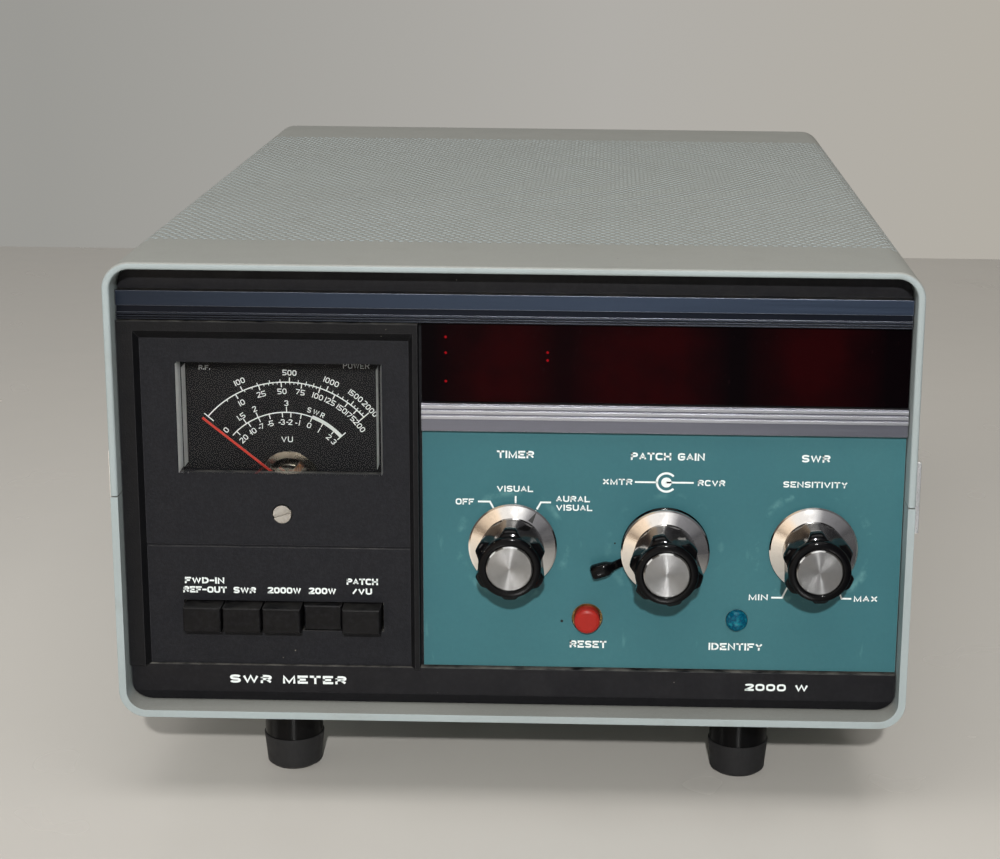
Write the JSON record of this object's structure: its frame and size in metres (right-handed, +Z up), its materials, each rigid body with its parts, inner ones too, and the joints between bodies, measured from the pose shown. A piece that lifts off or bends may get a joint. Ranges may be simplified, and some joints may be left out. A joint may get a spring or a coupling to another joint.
{
  "type": "swr meter",
  "caption": "Tabletop amateur radio station console: meter for power and standing-wave ratio, clock window, timer, phone patch and sensitivity knobs, push buttons, coax and audio sockets.",
  "frame": {"origin": "on the surface the feet stand on, under the middle of the whole depth and width", "axes": "+Z up, the front panel faces -Y, +X is to the right seen from the front"},
  "size_m": [0.266, 0.3892, 0.1834],
  "materials": {
    "cabinet_paint": "fine grey-green wrinkle paint",
    "bright_strip": "bright brushed",
    "screw_steel": "zinc plated",
    "black_post": "gloss",
    "foot_rubber": "matte",
    "plated_steel": "passivated",
    "black_panel": "satin black",
    "dark_rail": "blue-black anodised",
    "silver_rail": "clear anodised, ribbed",
    "teal_panel": "satin, silk-screened",
    "red_window": "gloss acrylic",
    "digit_module": "moulded",
    "circuit_board": "solder mask",
    "black_moulding": "fine leather grain",
    "clear_cover": "gloss",
    "dial_black": "matte with white scales",
    "core_iron": "turned",
    "needle_red": "gloss",
    "copper_wire": "enamelled",
    "key_black": "satin",
    "knob_black": "gloss",
    "spun_aluminium": "spun, radial sheen",
    "polished_skirt": "polished, slightly worn",
    "shaft_metal": "turned",
    "switch_body": "plated",
    "brass": "turned",
    "reset_red": "satin",
    "spring_steel": "wire",
    "lens_blue": "gloss",
    "lamp_glass": "gloss",
    "core_laminations": "varnished laminations and windings",
    "speaker_black": "paper cone, steel frame",
    "sensor_aluminium": "brushed",
    "nickel_connector": "nickel plated",
    "grommet_black": "satin"
  },
  "bodies": {
    "cabinet": {"top_shell": "cabinet_paint", "bottom_shell": "cabinet_paint", "side_plates": "bright_strip", "side_screws": "screw_steel", "foot_posts": "black_post", "rubber_feet": "foot_rubber", "foot_screws": "screw_steel", "chassis": "plated_steel", "rear_panel": "plated_steel", "front_subpanel": "black_panel", "top_trim_rail": "dark_rail", "middle_trim_rail": "silver_rail", "bottom_trim_bar": "black_panel", "control_panel": "teal_panel", "display_window": "red_window", "display_digits": "digit_module", "display_board": "circuit_board", "meter_bezel": "black_moulding", "meter_cover": "clear_cover", "meter_case": "black_moulding", "meter_dial": "dial_black", "meter_core": "core_iron", "button_bank_frame": "plated_steel", "timer_switch": "switch_body", "sensitivity_pot": "switch_body", "patch_pot": "switch_body", "panel_nuts": "brass", "reset_switch": "brass", "reset_spring": "spring_steel", "identify_lens": "lens_blue", "identify_lamp": "lamp_glass", "main_board": "circuit_board", "power_transformer": "core_laminations", "alarm_speaker": "speaker_black", "sensor_box": "sensor_aluminium", "coax_sockets": "nickel_connector", "rear_jacks": "nickel_connector", "cord_grommet": "grommet_black"},
    "timer_control": {"timer_knob": "knob_black", "timer_insert": "spun_aluminium", "timer_skirt": "polished_skirt", "timer_shaft": "shaft_metal"},
    "patch_control": {"patch_knob": "knob_black", "patch_insert": "spun_aluminium", "patch_skirt": "polished_skirt", "patch_shaft": "shaft_metal"},
    "patch_lever": {"patch_lever": "knob_black"},
    "sensitivity_control": {"sensitivity_knob": "knob_black", "sensitivity_insert": "spun_aluminium", "sensitivity_skirt": "polished_skirt", "sensitivity_shaft": "shaft_metal"},
    "reset_button": {"reset_button": "reset_red"},
    "power_button": {"power_button": "key_black"},
    "swr_button": {"swr_button": "key_black"},
    "high_range_button": {"high_range_button": "key_black"},
    "low_range_button": {"low_range_button": "key_black"},
    "patch_button": {"patch_button": "key_black"},
    "meter_movement": {"meter_pointer": "needle_red", "meter_coil": "copper_wire"},
    "zero_screw": {"meter_zero_screw": "screw_steel"}
  },
  "joints": [
    {"name": "timer_turn", "type": "hinge", "parent": "cabinet", "child": "timer_control", "pos_m": [0, -0.1675, 0.0889], "axis": [0, 1, 0], "range_deg": [-60, 0]},
    {"name": "patch_gain_turn", "type": "hinge", "parent": "cabinet", "child": "patch_control", "pos_m": [0.05, -0.1675, 0.0882], "axis": [0, 1, 0], "range_deg": [0, 300]},
    {"name": "patch_lever_turn", "type": "hinge", "parent": "cabinet", "child": "patch_lever", "pos_m": [0.05, -0.1675, 0.0882], "axis": [0, 1, 0], "range_deg": [-43.5, 256.5]},
    {"name": "sensitivity_turn", "type": "hinge", "parent": "cabinet", "child": "sensitivity_control", "pos_m": [0.0985, -0.1675, 0.0892], "axis": [0, 1, 0], "range_deg": [0, 300]},
    {"name": "reset_press", "type": "slide", "parent": "cabinet", "child": "reset_button", "axis": [0, 1, 0], "range_m": [0, 0.0025], "stiffness_N_per_m": 300, "springref_m": -0.003, "deforming": ["reset_spring"]},
    {"name": "meter_swing", "type": "hinge", "parent": "cabinet", "child": "meter_movement", "pos_m": [-0.075, -0.1614, 0.1068], "axis": [0, 1, 0], "range_deg": [0, 102], "stiffness_Nm_per_rad": 0.00002, "springref_deg": -28.65},
    {"name": "zero_adjust", "type": "hinge", "parent": "cabinet", "child": "zero_screw", "pos_m": [-0.0758, -0.1685, 0.0984], "axis": [0, 1, 0], "range_deg": [-45, 45]},
    {"name": "power_button_press", "type": "slide", "parent": "cabinet", "child": "power_button", "axis": [0, 1, 0], "range_m": [0, 0.004], "stiffness_N_per_m": 200, "springref_m": -0.004},
    {"name": "swr_button_press", "type": "slide", "parent": "cabinet", "child": "swr_button", "axis": [0, 1, 0], "range_m": [0, 0.004], "stiffness_N_per_m": 200, "springref_m": -0.004},
    {"name": "high_range_button_press", "type": "slide", "parent": "cabinet", "child": "high_range_button", "axis": [0, 1, 0], "range_m": [0, 0.004], "stiffness_N_per_m": 200, "springref_m": -0.004},
    {"name": "patch_button_press", "type": "slide", "parent": "cabinet", "child": "patch_button", "axis": [0, 1, 0], "range_m": [0, 0.004], "stiffness_N_per_m": 200, "springref_m": -0.004},
    {"name": "low_range_button_press", "type": "slide", "parent": "cabinet", "child": "low_range_button", "axis": [0, 1, 0], "range_m": [-0.004, 0]}
  ]
}
